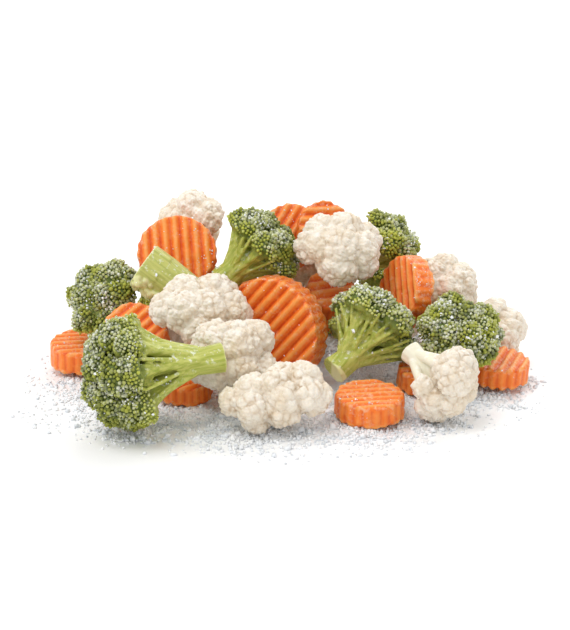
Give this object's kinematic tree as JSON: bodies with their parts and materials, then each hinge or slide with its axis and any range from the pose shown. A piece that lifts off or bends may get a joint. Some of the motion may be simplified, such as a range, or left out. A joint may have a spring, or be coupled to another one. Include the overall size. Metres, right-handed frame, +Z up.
{
  "type": "heap of frozen mixed vegetables",
  "caption": "A heap of frozen broccoli and cauliflower florets and crinkle-cut carrot slices, dusted with frost, lying on a thin bed of loose ice crystals.",
  "frame": {"origin": "the middle of the bed of ice crystals, on the surface that it lies on", "axes": "+Z up; +X to the right along the heap's longest side; +Y to the back, away from the side that the picture shows"},
  "size_m": [0.186, 0.16, 0.0599],
  "materials": {
    "broccoli": "frosted green buds over light yellow-green stalks",
    "cauliflower": "frosted warm cream, finely bumpy",
    "carrot": "frosted bright orange, crinkle-cut",
    "ice": "loose white ice crystals"
  },
  "bodies": {
    "root": {"cauliflower_under_left": "cauliflower", "cauliflower_under_middle": "cauliflower", "broccoli_under_middle": "broccoli", "cauliflower_under_right": "cauliflower", "carrot_inside_left": "carrot", "carrot_inside_middle": "carrot", "broccoli_back_left": "broccoli", "cauliflower_back": "cauliflower", "carrot_back_flat": "carrot", "broccoli_back_right": "broccoli", "carrot_back_right": "carrot", "carrot_back_leaning": "carrot", "cauliflower_high_back": "cauliflower", "carrot_flat_left": "carrot", "carrot_low_left": "carrot", "carrot_flat_front": "carrot", "carrot_low_middle": "carrot", "carrot_flat_right": "carrot", "cauliflower_right": "cauliflower", "cauliflower_front": "cauliflower", "cauliflower_front_right": "cauliflower", "broccoli_right": "broccoli", "broccoli_standing": "broccoli", "carrot_big_front": "carrot", "cauliflower_centre": "cauliflower", "broccoli_front_left": "broccoli", "carrot_middle_left": "carrot", "broccoli_left": "broccoli", "cauliflower_middle": "cauliflower", "carrot_middle_right": "carrot", "cauliflower_back_right": "cauliflower", "carrot_right": "carrot", "broccoli_top_right": "broccoli", "broccoli_cut_stalk": "broccoli", "carrot_upper_left": "carrot", "cauliflower_top_left": "cauliflower", "broccoli_top": "broccoli", "carrot_top": "carrot", "cauliflower_top": "cauliflower", "carrot_top_back": "carrot", "ice_crystals": "ice"}
  },
  "joints": []
}
